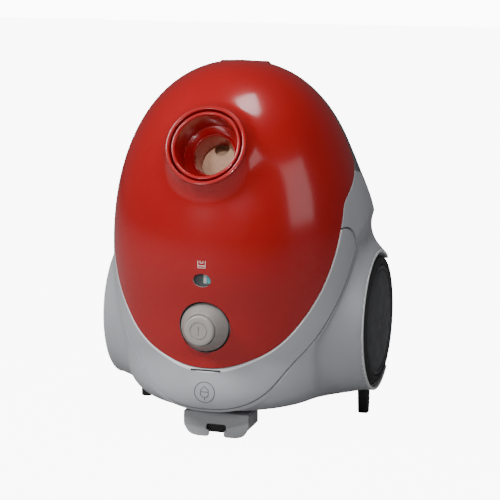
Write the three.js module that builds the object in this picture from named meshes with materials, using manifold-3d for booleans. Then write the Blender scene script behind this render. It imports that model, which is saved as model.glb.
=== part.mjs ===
// A compact bagged canister vacuum cleaner, standing on its tail.
// Millimetres. +Z is up, towards the nose. The lid faces -Y and the underside, with its wheels, faces +Y.
// The origin is on the floor, under the middle of the cleaner's box.
import * as THREE from "three";
import { mergeVertices } from "three/addons/utils/BufferGeometryUtils.js";
import Module from "manifold-3d";

const wasm = await Module();
wasm.setup();

// ---------------------------------------------------------------- driving dimensions

const CENTRE_Y = 20; // the egg-shaped body's centre
const CENTRE_Z = 190;
const HALF_WIDTH = 136;
const FRONT_DEPTH = 138; // centre to the crown of the lid
const BACK_DEPTH = 92; // centre to the underside
const NOSE_HEIGHT = 202; // centre to the nose
const TAIL_HEIGHT = 194; // centre to where the egg would close below the floor of the body
const TAIL_FLOOR_Z = 27; // the flat tail end
const SECTION_POWER = 2.1; // superellipse powers of the egg
const BACK_POWER = 4; // square behind the wheels
const UPPER_BACK_POWER = 2.5; // rounder behind the hose inlet
const NOSE_POWER = 2.2;
const TAIL_POWER = 3;
const FLOOR_BLEND_POWER = 14;

const WALL = 3;
const LID_WALL = 2.6;
const FIT_GAP = 0.4; // between touching pieces
const MESH_TOLERANCE = 0.12; // facets flatter than this are merged
const PEDAL_TRAVEL_ROOM = 7.6; // clear depth behind the pedal

const LID_EDGE_Z = 80.8; // the lid's lowest point
const PEDAL_EDGE_Z = 77; // the pedal's upper edge there
const EDGE_Y = -109;
const EDGE_RISE = 1.36; // the parting line's curve in side view
const EDGE_POWER = 0.807;
const PEDAL_LOW_Y = -104; // the lowest point of the pedal's outer edge
const PEDAL_LOW_Z = 40;
const PEDAL_RISE = 0.424; // that edge's curve in side view
const PEDAL_POWER = 1.0775;
const EDGE_KNEE_Z = 258; // above it the parting line swings back to EDGE_TOP_Y
const EDGE_TOP_Y = 30;
const EDGE_TOP_Z = 290;

const WHEEL_RADIUS = 71;
const WHEEL_Y = 58;
const WHEEL_Z = 109;
const WHEEL_BACK_X = 124; // the wheel's inner face
const ARCH_RADIUS = 77;
const ARCH_BORE = 73.5;
const ARCH_CUT_Y = 100; // beyond it the wheel stands free of its arch
const ARCH_BACK_X = 117;
const ARCH_LIP_X = 145.4; // how far the body flares out to the wheel's edge
const FLARE_REACH = 42; // how far from the arch the flare starts, at a crease
const FLARE_HOLLOW = 6.5; // how deep the flare dips before it rises to the arch

const SOCKET_Y = -104.5; // the middle of the hose collar's rim
const SOCKET_Z = 316;
const SOCKET_TILT = THREE.MathUtils.degToRad(26.5);
const COLLAR_RADIUS = 42.4;
const COLLAR_BORE = 38.6;

const KNOB_Y = -107;
const KNOB_Z = 128;
const KNOB_RADIUS = 25.6;
const KNOB_HEIGHT = 17;
const BUTTON_RADIUS = 15.9;
const BUTTON_TOP = 22;

const WINDOW_Z = 178.5;
const HINGE_Y = -105.8; // the lid's hinge axis
const HINGE_Z = 81.4;
const PIVOT_Y = -15; // the pedal's pivot axis
const PIVOT_Z = 210;

const FOOT_X = 127;
const FOOT_Y = 71;
const TAB_FRONT_Y = -71;

const FRONT_AXIS = new THREE.Vector3(0, -1, 0);

// ---------------------------------------------------------------- materials

const finish = (color, roughness, metalness = 0) =>
  new THREE.MeshStandardMaterial({ color, roughness, metalness });
const RED = finish(0xb31b16, 0.22);
const GREY = finish(0x9b9ca1, 0.42);
const KNOB_GREY = finish(0x9a958f, 0.4);
const CHARCOAL = finish(0x46474c, 0.5);
const RUBBER = finish(0x151517, 0.8);
const BLACK_PLASTIC = finish(0x26272a, 0.55);
const STEEL = finish(0xa8abb0, 0.3, 1);
const COPPER = finish(0x9a5a30, 0.4, 1);
const PAPER = finish(0xd9b58c, 0.9);
const CARD = finish(0xb98f5e, 0.9);
const FOAM = finish(0x3b4a57, 0.95);
const FILTER_WHITE = finish(0xe6e6e2, 0.95);
const BOARD_GREEN = finish(0x1d5a3a, 0.5);
const CLEAR = finish(0xd8e6ea, 0.08);
const TEAL = finish(0x19b5bd, 0.35);

// ---------------------------------------------------------------- solids

// A closed solid from corner positions and triangles, turned the right way out.
function closedSolid(positions, triangles) {
  const build = (tris) =>
    new wasm.Manifold(
      new wasm.Mesh({
        numProp: 3,
        vertProperties: new Float32Array(positions),
        triVerts: new Uint32Array(tris),
      }),
    );
  const made = build(triangles);
  if (made.volume() > 0) return made;
  const flipped = [];
  for (let i = 0; i < triangles.length; i += 3)
    flipped.push(triangles[i], triangles[i + 2], triangles[i + 1]);
  return build(flipped);
}

function solid(geometry) {
  const bare = geometry.index ? geometry.toNonIndexed() : geometry.clone();
  bare.deleteAttribute("normal");
  bare.deleteAttribute("uv");
  const merged = mergeVertices(bare, 1e-3);
  return closedSolid(merged.attributes.position.array, merged.index.array);
}

function asGeometry(made) {
  const mesh = made.getMesh();
  const geometry = new THREE.BufferGeometry();
  geometry.setAttribute("position", new THREE.BufferAttribute(mesh.vertProperties, 3));
  geometry.setIndex(new THREE.BufferAttribute(mesh.triVerts, 1));
  const flat = geometry.toNonIndexed();
  flat.computeVertexNormals();
  return flat;
}

const join = (first, ...rest) => rest.reduce((sum, next) => sum.add(next), first);
const cut = (first, ...rest) => rest.reduce((left, next) => left.subtract(next), first);

// A box from its middle and full sizes.
const box = (x, y, z, sx, sy, sz) => solid(new THREE.BoxGeometry(sx, sy, sz).translate(x, y, z));

// Turns geometry made along +Y so that it points along an axis, then moves it.
function aim(geometry, axis, x, y, z) {
  const turn = new THREE.Quaternion().setFromUnitVectors(new THREE.Vector3(0, 1, 0), axis);
  return geometry.applyQuaternion(turn).translate(x, y, z);
}

const X_AXIS = new THREE.Vector3(1, 0, 0);
const Y_AXIS = new THREE.Vector3(0, 1, 0);
const Z_AXIS = new THREE.Vector3(0, 0, 1);

// A cylinder that starts at a point and runs for its length along an axis.
function rod(axis, x, y, z, radius, length, sides = 24, endRadius = radius) {
  const geometry = new THREE.CylinderGeometry(endRadius, radius, length, sides).translate(0, length / 2, 0);
  return solid(aim(geometry, axis, x, y, z));
}

// A turned piece: its outline is [radius, height] pairs, closed on itself, and heights run along the axis.
function turned(axis, x, y, z, outline, sides = 32) {
  const points = outline.map(([r, h]) => new THREE.Vector2(r, h));
  if (outline.every(([r]) => r > 0)) points.push(points[0].clone());
  return solid(aim(new THREE.LatheGeometry(points, sides), axis, x, y, z));
}

// A ring with a rectangular section.
const ring = (axis, x, y, z, inner, outer, length, sides = 32) =>
  turned(axis, x, y, z, [[inner, 0], [outer, 0], [outer, length], [inner, length]], sides);

// An outline in the side view, [y, z] pairs, pushed out to both sides of x = 0.
function sideSlab(outline, fromX, toX) {
  const shape = new THREE.Shape(outline.map(([y, z]) => new THREE.Vector2(y, z)));
  const geometry = new THREE.ExtrudeGeometry(shape, { depth: toX - fromX, bevelEnabled: false });
  // shape x -> Y, shape y -> Z, depth -> X
  const turn = new THREE.Matrix4().makeBasis(Y_AXIS, Z_AXIS, X_AXIS);
  return solid(geometry.applyMatrix4(turn).translate(fromX, 0, 0));
}

// An outline in the front view, [x, z] pairs, pushed back from one y to another.
function frontSlab(shape, fromY, toY) {
  const geometry = new THREE.ExtrudeGeometry(shape, { depth: toY - fromY, bevelEnabled: false, curveSegments: 8 });
  // shape x -> X, shape y -> Z, depth -> -Y, then mirrored back by starting at toY
  const turn = new THREE.Matrix4().makeBasis(X_AXIS, Z_AXIS, FRONT_AXIS);
  return solid(geometry.applyMatrix4(turn).translate(0, toY, 0));
}

// ---------------------------------------------------------------- the egg-shaped body

const smooth = (from, to, value) => THREE.MathUtils.smoothstep(value, from, to);

// The front is a little flatter round the knob and fuller again behind the pedal.
const frontDepth = (drop) => FRONT_DEPTH - 6.5 * smooth(0, 62, drop) + 22 * smooth(95, 150, drop);

// The back's section grows rounder towards the nose.
const backPower = (rise) => BACK_POWER + (UPPER_BACK_POWER - BACK_POWER) * smooth(30, 120, rise);

// How far a direction from the centre runs before it leaves the egg.
function eggReach(d) {
  const back = d.y > 0;
  const up = d.z > 0;
  const endPower = up ? NOSE_POWER : TAIL_POWER;
  const endTerm = (Math.abs(d.z) / (up ? NOSE_HEIGHT : TAIL_HEIGHT)) ** endPower;
  let reach = HALF_WIDTH;
  for (let i = 0; i < 12; i++) {
    const power = back ? backPower(d.z * reach) : SECTION_POWER;
    const depth = back ? BACK_DEPTH : frontDepth(-d.z * reach);
    const section = (Math.abs(d.x) / HALF_WIDTH) ** power + (Math.abs(d.y) / depth) ** power;
    reach = (section ** (endPower / power) + endTerm) ** (-1 / endPower);
  }
  return reach;
}

// The lower body: the egg with a flat tail, swollen round the wheels.
function tubReach(d) {
  const egg = eggReach(d);
  const floor = d.z < 0 ? -d.z / (CENTRE_Z - TAIL_FLOOR_Z) : 0;
  const reach = (egg ** -FLOOR_BLEND_POWER + floor ** FLOOR_BLEND_POWER) ** (-1 / FLOOR_BLEND_POWER);
  const y = CENTRE_Y + d.y * egg;
  const z = CENTRE_Z + d.z * egg;
  const swell = 0.045 * (1 - smooth(205, 285, z)) * smooth(-25, 35, y) * smooth(0.35, 0.9, Math.abs(d.x));
  return reach * (1 + swell);
}

// Flares the lower body's sides out to the arch round each wheel. inset keeps an inner wall inside.
const flared = (inset) => ([x, y, z]) => {
  const fromArch = Math.hypot(y - WHEEL_Y, z - WHEEL_Z) - ARCH_RADIUS;
  const t = THREE.MathUtils.clamp(fromArch / FLARE_REACH, 0, 1);
  const onSide = smooth(80, 116, Math.abs(x));
  const wide = Math.abs(x) + (ARCH_LIP_X - inset - Math.abs(x)) * (1 - t) ** 2 * onSide;
  return [Math.sign(x) * (wide - FLARE_HOLLOW * 4 * t * (1 - t) * onSide), y, z];
};

// Unit direction at an angle round the front view and an angle forward of the centre plane.
function direction(around, forward) {
  return new THREE.Vector3(
    Math.cos(forward) * Math.cos(around),
    -Math.sin(forward),
    Math.cos(forward) * Math.sin(around),
  );
}

const onReach = (d, reach) => [d.x * reach, CENTRE_Y + d.y * reach, CENTRE_Z + d.z * reach];

// A whole closed body that every direction from the centre leaves once.
function starSolid(reachOf, columns, rows, warp = (point) => point) {
  const positions = [];
  const triangles = [];
  const put = (p) => positions.push(...warp(p));
  const front = direction(0, Math.PI / 2);
  put(onReach(front, reachOf(front)));
  for (let i = 1; i < rows; i++)
    for (let j = 0; j < columns; j++) {
      const d = direction((j / columns) * 2 * Math.PI, Math.PI / 2 - (i / rows) * Math.PI);
      put(onReach(d, reachOf(d)));
    }
  const back = direction(0, -Math.PI / 2);
  put(onReach(back, reachOf(back)));
  const at = (i, j) => 1 + (i - 1) * columns + (j % columns);
  const last = 1 + (rows - 1) * columns;
  for (let j = 0; j < columns; j++) {
    triangles.push(0, at(1, j), at(1, j + 1));
    for (let i = 1; i < rows - 1; i++)
      triangles.push(at(i, j), at(i + 1, j), at(i + 1, j + 1), at(i, j), at(i + 1, j + 1), at(i, j + 1));
    triangles.push(last, at(rows - 1, j + 1), at(rows - 1, j));
  }
  return closedSolid(positions, triangles);
}

// The parting line's depth at a height. lowest is where it crosses the middle.
function edgeY(z, lowest) {
  if (z <= lowest) return EDGE_Y - (lowest - z) * 4;
  const side = EDGE_Y + EDGE_RISE * (z - lowest) ** EDGE_POWER;
  const knee = smooth(EDGE_KNEE_Z - 12, EDGE_TOP_Z, z);
  return side * (1 - knee) + EDGE_TOP_Y * knee;
}

// The forward angle at which the surface meets a line given as depth at height.
function edgeAngle(around, reachOf, lineY) {
  let below = THREE.MathUtils.degToRad(-70);
  let above = Math.PI / 2;
  for (let i = 0; i < 40; i++) {
    const middle = (below + above) / 2;
    const d = direction(around, middle);
    const [, y, z] = onReach(d, reachOf(d));
    if (y > lineY(z)) below = middle;
    else above = middle;
  }
  return (below + above) / 2;
}

// A domed shell in front of an edge line.
function domeShell(edgeOf, outerReach, innerReach, columns, rows) {
  const positions = [];
  const triangles = [];
  const layer = (reachOf) => {
    const first = positions.length / 3;
    for (let i = 0; i < rows; i++)
      for (let j = 0; j < columns; j++) {
        const around = (j / columns) * 2 * Math.PI;
        const edge = edgeOf(around);
        const d = direction(around, edge + (Math.PI / 2 - edge) * (i / rows));
        positions.push(...onReach(d, reachOf(d)));
      }
    const pole = direction(0, Math.PI / 2);
    positions.push(...onReach(pole, reachOf(pole)));
    return (i, j) => (i === rows ? first + rows * columns : first + i * columns + (j % columns));
  };
  const outer = layer(outerReach);
  const inner = layer(innerReach);
  for (let j = 0; j < columns; j++) {
    for (let i = 0; i < rows - 1; i++) {
      triangles.push(outer(i, j), outer(i, j + 1), outer(i + 1, j + 1));
      triangles.push(outer(i, j), outer(i + 1, j + 1), outer(i + 1, j));
      triangles.push(inner(i, j), inner(i + 1, j + 1), inner(i, j + 1));
      triangles.push(inner(i, j), inner(i + 1, j), inner(i + 1, j + 1));
    }
    triangles.push(outer(rows - 1, j), outer(rows - 1, j + 1), outer(rows, j));
    triangles.push(inner(rows - 1, j), inner(rows, j), inner(rows - 1, j + 1));
    triangles.push(outer(0, j), inner(0, j), inner(0, j + 1), outer(0, j), inner(0, j + 1), outer(0, j + 1));
  }
  return closedSolid(positions, triangles);
}

// A patch from one grid of outer points and one of inner points, closed all round.
function patchShell(outerAt, innerAt, columns, rows) {
  const positions = [];
  const triangles = [];
  const layer = (pointAt) => {
    const first = positions.length / 3;
    for (let i = 0; i <= rows; i++)
      for (let j = 0; j <= columns; j++) positions.push(...pointAt(j / columns, i / rows));
    return (i, j) => first + i * (columns + 1) + j;
  };
  const outer = layer(outerAt);
  const inner = layer(innerAt);
  const quad = (a, b, c, d) => triangles.push(a, b, c, a, c, d);
  for (let i = 0; i < rows; i++)
    for (let j = 0; j < columns; j++) {
      quad(outer(i, j), outer(i, j + 1), outer(i + 1, j + 1), outer(i + 1, j));
      quad(inner(i, j), inner(i + 1, j), inner(i + 1, j + 1), inner(i, j + 1));
    }
  for (let j = 0; j < columns; j++) {
    quad(outer(0, j + 1), outer(0, j), inner(0, j), inner(0, j + 1));
    quad(outer(rows, j), outer(rows, j + 1), inner(rows, j + 1), inner(rows, j));
  }
  for (let i = 0; i < rows; i++) {
    quad(outer(i, 0), outer(i + 1, 0), inner(i + 1, 0), inner(i, 0));
    quad(outer(i + 1, columns), outer(i, columns), inner(i, columns), inner(i + 1, columns));
  }
  return closedSolid(positions, triangles);
}

// The egg or the lower body pulled in by a distance, for whatever has to fit inside it.
const pulledIn = (reachOf, distance) => (d) => reachOf(d) - distance;
const insideTub = (distance, columns = 24, rows = 12) =>
  starSolid(pulledIn(tubReach, distance), columns, rows, flared(distance));

// The pedal's outer edge in side view: its depth at a height, from the middle of its curve up its arm.
function pedalOuterY(z) {
  if (z <= PEDAL_LOW_Z) return PEDAL_LOW_Y - (PEDAL_LOW_Z - z) * 4;
  return PEDAL_LOW_Y + PEDAL_RISE * (z - PEDAL_LOW_Z) ** PEDAL_POWER;
}

const pedalLidY = (z) => edgeY(z, PEDAL_EDGE_Z);

// The pedal's U-shaped piece of the egg, between two depths under its surface.
// grow widens it all round, in radians; rise widens it on the lid's side.
function bandPatch(outerDepth, innerDepth, grow, rise, columns, rows) {
  const directions = new Map();
  const directionAt = (u, v) => {
    const key = `${u},${v}`;
    if (directions.has(key)) return directions.get(key);
    let across = v;
    let made;
    for (let i = 0; i < 4; i++) {
      const arm = THREE.MathUtils.degToRad(105 - 11 * across ** 2) + grow;
      const around = -Math.PI / 2 + (u * 2 - 1) * arm;
      const lidSide = edgeAngle(around, eggReach, pedalLidY);
      const bodySide = edgeAngle(around, eggReach, pedalOuterY);
      const forward = lidSide + rise + (bodySide - grow - lidSide - rise) * v;
      across = THREE.MathUtils.clamp((lidSide - forward) / (lidSide - bodySide), 0, 1);
      made = direction(around, forward);
    }
    directions.set(key, made);
    return made;
  };
  const pointAt = (depth) => (u, v) => {
    const d = directionAt(u, v);
    return onReach(d, eggReach(d) - depth);
  };
  return patchShell(pointAt(outerDepth), pointAt(innerDepth), columns, rows);
}

// Everything in front of the parting line.
function lidSide(lowest, offset) {
  const outline = [[-220, lowest - (220 + EDGE_Y) / 4]];
  for (let z = lowest; z <= 300; z += 6) outline.push([edgeY(z, lowest) + offset, z]);
  outline.push([EDGE_TOP_Y + offset, 430], [-220, 430]);
  return sideSlab(outline, -200, 200);
}

// A piece and its mirror image across x = 0.
const bothSides = (made) => [made, made.mirror([1, 0, 0])];

const group = new THREE.Group();
function part(name, made, material) {
  const mesh = new THREE.Mesh(asGeometry(made.simplify(MESH_TOLERANCE)), material.clone());
  mesh.name = name;
  group.add(mesh);
}
function pair(name, made, material) {
  const [right, left] = bothSides(made);
  part(`${name}_right`, right, material);
  part(`${name}_left`, left, material);
}

// ---------------------------------------------------------------- hose inlet

const SOCKET_AXIS = new THREE.Vector3(0, -Math.cos(SOCKET_TILT), Math.sin(SOCKET_TILT));
const SOCKET_UP = new THREE.Vector3(0, Math.sin(SOCKET_TILT), Math.cos(SOCKET_TILT));
const socketTurned = (outline, sides = 28) => turned(SOCKET_AXIS, 0, SOCKET_Y, SOCKET_Z, outline, sides);
const socketRod = (from, radius, length, sides = 28) =>
  rod(SOCKET_AXIS, 0, SOCKET_Y + SOCKET_AXIS.y * from, SOCKET_Z + SOCKET_AXIS.z * from, radius, length, sides);

const collar = socketTurned([
  [COLLAR_BORE, -24],
  [46, -24],
  [66, -29],
  [66, -27],
  [58, -21],
  [51, -16],
  [46.5, -12],
  [43.6, -8],
  [COLLAR_RADIUS, -4],
  [COLLAR_RADIUS, -0.8],
  [COLLAR_RADIUS - 0.8, 0],
  [COLLAR_BORE, 0],
]);
part(
  "hose_socket",
  socketTurned([
    [18.6, -54],
    [20.2, -54],
    [23.4, -36],
    [38.2, -36],
    [38.2, -9],
    [36.1, -9],
    [36.1, -1.8],
    [35.3, -1],
    [33.3, -1],
    [32.5, -1.8],
    [32.5, -33.6],
    [23.6, -33],
    [22.4, -31.6],
    [21.6, -33],
  ]),
  RED,
);
part("socket_seal", socketTurned([[24.4, -38.6], [31, -38.6], [31, -36.4], [24.4, -36.4]], 28), RUBBER);

// ---------------------------------------------------------------- lid

const lidEdgeOf = (around) => edgeAngle(around, eggReach, (z) => edgeY(z, LID_EDGE_Z));
const lidShell = domeShell(lidEdgeOf, eggReach, pulledIn(eggReach, LID_WALL), 40, 9).intersect(
  lidSide(LID_EDGE_Z - 0.3, 0.1),
);
const knobHole = rod(FRONT_AXIS, 0, -80, KNOB_Z, 27.5, 60, 32);
// An oval column on the window's axis.
const windowOval = (fromY, depth, rx, rz) => {
  const blank = new THREE.CylinderGeometry(1, 1, depth, 20).scale(rx, 1, rz);
  return solid(aim(blank, FRONT_AXIS, 0, fromY - depth / 2, WINDOW_Z));
};
const windowHole = windowOval(-103, 30, 9.6, 7);
const windowRim = cut(windowOval(-108.5, 9, 11.6, 9), windowHole);
part(
  "lid",
  cut(join(lidShell, collar, windowRim), socketRod(-60, COLLAR_BORE, 70), knobHole, windowHole),
  RED,
);

part("window_lens", windowOval(-112, 2, 9.2, 6.6), CLEAR);
part("indicator_housing", cut(windowOval(-96.5, 12, 14, 11.4), windowOval(-98, 12, 12.6, 10)), BLACK_PLASTIC);
part("indicator_flag", join(box(3.4, -104, WINDOW_Z, 5, 1.2, 11), box(3.4, -101.6, WINDOW_Z, 1.6, 4, 5)), TEAL);

// ---------------------------------------------------------------- power knob

part(
  "power_knob",
  turned(FRONT_AXIS, 0, KNOB_Y, KNOB_Z, [
    [12, 0],
    [KNOB_RADIUS, 0],
    [KNOB_RADIUS, 1.4],
    [KNOB_RADIUS - 1, 2.6],
    [19.4, KNOB_HEIGHT - 1.2],
    [18.4, KNOB_HEIGHT],
    [BUTTON_RADIUS + 0.5, KNOB_HEIGHT],
    [BUTTON_RADIUS + 0.5, 6],
    [12, 6],
  ], 32),
  KNOB_GREY,
);
const buttonBlank = turned(FRONT_AXIS, 0, KNOB_Y, KNOB_Z, [
  [0, 9.6],
  [BUTTON_RADIUS, 9.6],
  [BUTTON_RADIUS, BUTTON_TOP - 1.6],
  [BUTTON_RADIUS - 0.6, BUTTON_TOP - 0.5],
  [BUTTON_RADIUS - 1.8, BUTTON_TOP],
  [0, BUTTON_TOP],
], 28);
const markFace = KNOB_Y - BUTTON_TOP;
const markRing = ring(FRONT_AXIS, 0, markFace + 0.6, KNOB_Z, 8.9, 10, 2, 28);
part("power_button", cut(buttonBlank, markRing, box(0, markFace, KNOB_Z, 1.3, 1.2, 9)), KNOB_GREY);

// ---------------------------------------------------------------- lower body

const tubOuter = insideTub(0, 44, 24);
const tubInner = insideTub(WALL, 32, 18);
const FENDER_X = 112.6;
const FENDER_FRONT_Y = -22;
const FENDER_TOP_Z = 292;
const fenderBox = (grow) =>
  box(
    FENDER_X - grow + 40,
    (FENDER_FRONT_Y - grow + 160) / 2,
    (FENDER_TOP_Z + grow) / 2,
    80,
    160 - FENDER_FRONT_Y + grow,
    FENDER_TOP_Z + grow,
  );
const hollow = cut(tubInner, ...bothSides(fenderBox(WALL)));
const recess = bandPatch(-14, WALL + PEDAL_TRAVEL_ROOM, 0.024, 0.16, 36, 4);
const recessPan = cut(bandPatch(0.6, WALL * 2 + PEDAL_TRAVEL_ROOM - 0.4, 0.044, 0.16, 36, 4), recess);
const nothingInFront = lidSide(LID_EDGE_Z - 1.8, 0.5);
const axleHole = (radius) => rod(X_AXIS, 90, WHEEL_Y, WHEEL_Z, radius, 60, 20);
const BUSH_X = 62;
const BUSH_Z = 60;
const DOOR_Z = 218;
const DOOR_WIDTH = 130;
const DOOR_HEIGHT = 84;
const TAB_SCREW_X = 24;
const TAB_SCREW_Y = -48;
const tabScrewHoles = bothSides(rod(Z_AXIS, TAB_SCREW_X, TAB_SCREW_Y, 10, 1.8, 30, 14));
const LATCH_HALF = 26;
const LATCH_PIN_Y = 60;
const LATCH_PIN_Z = 369.5;
// The hollow the latch lies in: its floor's upper line in side view, [y, z].
const LATCH_FLOOR = [[31, 381.4], [36, 380.8], [47.6, 375.8], [57.4, 367.4], [65.4, 359.4], [71, 352.4]];
const latchRecess = sideSlab([...LATCH_FLOOR, [71, 402], [31, 402]], -LATCH_HALF - 0.8, LATCH_HALF + 0.8);
const latchFloor = sideSlab(
  [...LATCH_FLOOR, ...LATCH_FLOOR.map(([y, z]) => [y - 1.2, z - 2.6]).reverse()],
  -LATCH_HALF - 2.6,
  LATCH_HALF + 2.6,
);
const tubWalls = join(cut(tubOuter, hollow), cut(recessPan, ...bothSides(fenderBox(0))), latchFloor);
const latchPinRod = (radius) =>
  rod(X_AXIS, -LATCH_HALF - 4, LATCH_PIN_Y, LATCH_PIN_Z, radius, 2 * LATCH_HALF + 8, 16);
part(
  "tub",
  cut(
    tubWalls,
    recess,
    nothingInFront,
    ...bothSides(fenderBox(0)),
    ...bothSides(axleHole(5)),
    ...bothSides(rod(X_AXIS, 100, PIVOT_Y, PIVOT_Z, 3.4, 40, 20)),
    rod(Y_AXIS, BUSH_X, 80, BUSH_Z, 9.3, 50, 24),
    box(0, 110, DOOR_Z, DOOR_WIDTH, 30, DOOR_HEIGHT),
    rod(Y_AXIS, 0, 70, 322, 9.2, 60, 24),
    latchRecess,
    latchPinRod(1.6),
    ...tabScrewHoles,
  ),
  GREY,
);
part(
  "latch_lever",
  cut(
    sideSlab(
      [
        [32, 389.4],
        [36, 389.6],
        [44, 387.4],
        [52, 382.8],
        [60, 375.8],
        [66, 368.4],
        [63, 365.2],
        [57, 371],
        [48, 377.4],
        [37, 382.2],
        [32, 382.8],
      ],
      -LATCH_HALF,
      LATCH_HALF,
    ),
    latchPinRod(1.6),
  ),
  RED,
);
part("latch_pin", latchPinRod(1.2), STEEL);

const fenderShell = cut(tubOuter, tubInner).intersect(fenderBox(-FIT_GAP));
const wheelCup = cut(
  turned(X_AXIS, ARCH_BACK_X, WHEEL_Y, WHEEL_Z, [
    [6, 0],
    [ARCH_RADIUS, 0],
    [ARCH_RADIUS, 29],
    [ARCH_BORE, 29],
    [ARCH_BORE, 2.6],
    [6, 2.6],
  ], 36),
  box(130, ARCH_CUT_Y + 40, WHEEL_Z, 60, 80, 200),
);
const wheelSpace = rod(X_AXIS, 90, WHEEL_Y, WHEEL_Z, ARCH_BORE, 80, 36);
pair("fender", join(cut(fenderShell, wheelSpace, nothingInFront, recess), wheelCup), GREY);

part("rewind_pedal", bandPatch(0, WALL, 0, 0, 36, 4), GREY);
pair("pedal_pin", rod(X_AXIS, 106, PIVOT_Y, PIVOT_Z, 3, 18, 16), STEEL);

// ---------------------------------------------------------------- wheels

pair(
  "tyre",
  turned(X_AXIS, WHEEL_BACK_X, WHEEL_Y, WHEEL_Z, [
    [59, 0],
    [WHEEL_RADIUS - 2, 0],
    [WHEEL_RADIUS, 3],
    [WHEEL_RADIUS, 20],
    [WHEEL_RADIUS - 3, 23.5],
    [59, 23.5],
  ], 36),
  RUBBER,
);
pair(
  "wheel_hub",
  turned(X_AXIS, WHEEL_BACK_X, WHEEL_Y, WHEEL_Z, [
    [5, 0],
    [12, 0],
    [12, 18],
    [54, 18],
    [54, 1],
    [58.6, 1],
    [58.6, 22.6],
    [55, 24.4],
    [30, 25.4],
    [5, 25.6],
  ], 32),
  CHARCOAL,
);
pair("wheel_axle", rod(X_AXIS, 104, WHEEL_Y, WHEEL_Z, 4.6, 44.6, 20), STEEL);

// ---------------------------------------------------------------- what it stands on

pair(
  "foot",
  solid(
    new THREE.CylinderGeometry(9.2, 8.2, 31, 4)
      .rotateY(Math.PI / 4)
      .rotateX(Math.PI / 2)
      .translate(FOOT_X, FOOT_Y, 15.5),
  ),
  BLACK_PLASTIC,
);
const TAB_HALF = 36;
// The hook's slot: a stem that widens to a bar.
const TAB_SLOT = [[-8.3, 0], [-8.3, 7], [-11, 7], [-11, 14], [11, 14], [11, 7], [8.3, 7], [8.3, 0]];
const tabShape = new THREE.Shape();
tabShape.moveTo(-TAB_HALF, 27);
tabShape.lineTo(-TAB_HALF, 10);
tabShape.quadraticCurveTo(-TAB_HALF, 0, -TAB_HALF + 10, 0);
for (const [x, z] of TAB_SLOT) tabShape.lineTo(x, z);
tabShape.lineTo(TAB_HALF - 10, 0);
tabShape.quadraticCurveTo(TAB_HALF, 0, TAB_HALF, 10);
tabShape.lineTo(TAB_HALF, 27);
const screwAt = (x, y, z) =>
  turned(Z_AXIS, x, y, z, [[0, 0], [3.6, 0], [3.6, 2], [1.4, 2], [1.4, 12], [0, 12]], 14);
part(
  "parking_tab",
  cut(
    join(
      frontSlab(tabShape, TAB_FRONT_Y, TAB_FRONT_Y + 4),
      box(0, -52, 25.4, 2 * TAB_HALF, 36, 3.2),
      ...bothSides(box(TAB_HALF - 1.6, -52, 16.5, 3.2, 36, 21)),
    ),
    ...tabScrewHoles,
  ),
  CHARCOAL,
);
pair("tab_screw", screwAt(TAB_SCREW_X, TAB_SCREW_Y, 21.6), STEEL);

// ---------------------------------------------------------------- castor under the nose

const CASTOR_Z = 322;
const CASTOR_TRAIL = 6;
const CASTOR_WHEEL_Y = 119;
const CASTOR_WHEEL_RADIUS = 10;
part(
  "castor_plate",
  turned(
    Y_AXIS,
    0,
    0,
    CASTOR_Z,
    [[4.6, 80], [8.8, 80], [8.8, 101], [18, 101], [18, 103], [17, 104], [4.6, 104]],
    28,
  ),
  GREY,
);
const castorPinHole = rod(X_AXIS, -20, CASTOR_WHEEL_Y, CASTOR_Z - CASTOR_TRAIL, 2.3, 40, 14);
part(
  "castor_fork",
  cut(
    join(
      turned(Y_AXIS, 0, 0, CASTOR_Z, [[0, 82], [4.2, 82], [4.2, 104.6], [13, 104.6], [13, 107.6], [0, 107.6]], 24),
      ...bothSides(box(10.2, 113.6, CASTOR_Z - 4.6, 2.4, 13, 13)),
    ),
    castorPinHole,
  ),
  GREY,
);
part(
  "castor_wheel",
  turned(X_AXIS, -7, CASTOR_WHEEL_Y, CASTOR_Z - CASTOR_TRAIL, [
    [2.4, 0],
    [8.6, 0],
    [CASTOR_WHEEL_RADIUS, 1.6],
    [CASTOR_WHEEL_RADIUS, 12.4],
    [8.6, 14],
    [2.4, 14],
  ], 28),
  RUBBER,
);
part("castor_pin", rod(X_AXIS, -11.4, CASTOR_WHEEL_Y, CASTOR_Z - CASTOR_TRAIL, 2, 22.8, 14), STEEL);

// ---------------------------------------------------------------- lid hinge, catch and seal

part("hinge_pin", rod(X_AXIS, -16, HINGE_Y, HINGE_Z, 1, 32, 12), STEEL);
const sealDirection = (u, v) => {
  const around = THREE.MathUtils.degToRad(32 + 116 * u);
  return direction(around, lidEdgeOf(around) + 0.064 - 0.024 * v);
};
const sealPoint = (depth) => (u, v) => {
  const d = sealDirection(u, v);
  return onReach(d, eggReach(d) - depth);
};
part("lid_seal", patchShell(sealPoint(5.6), sealPoint(7.8), 28, 1), RUBBER);

// ---------------------------------------------------------------- motor deck and bag chamber

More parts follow.
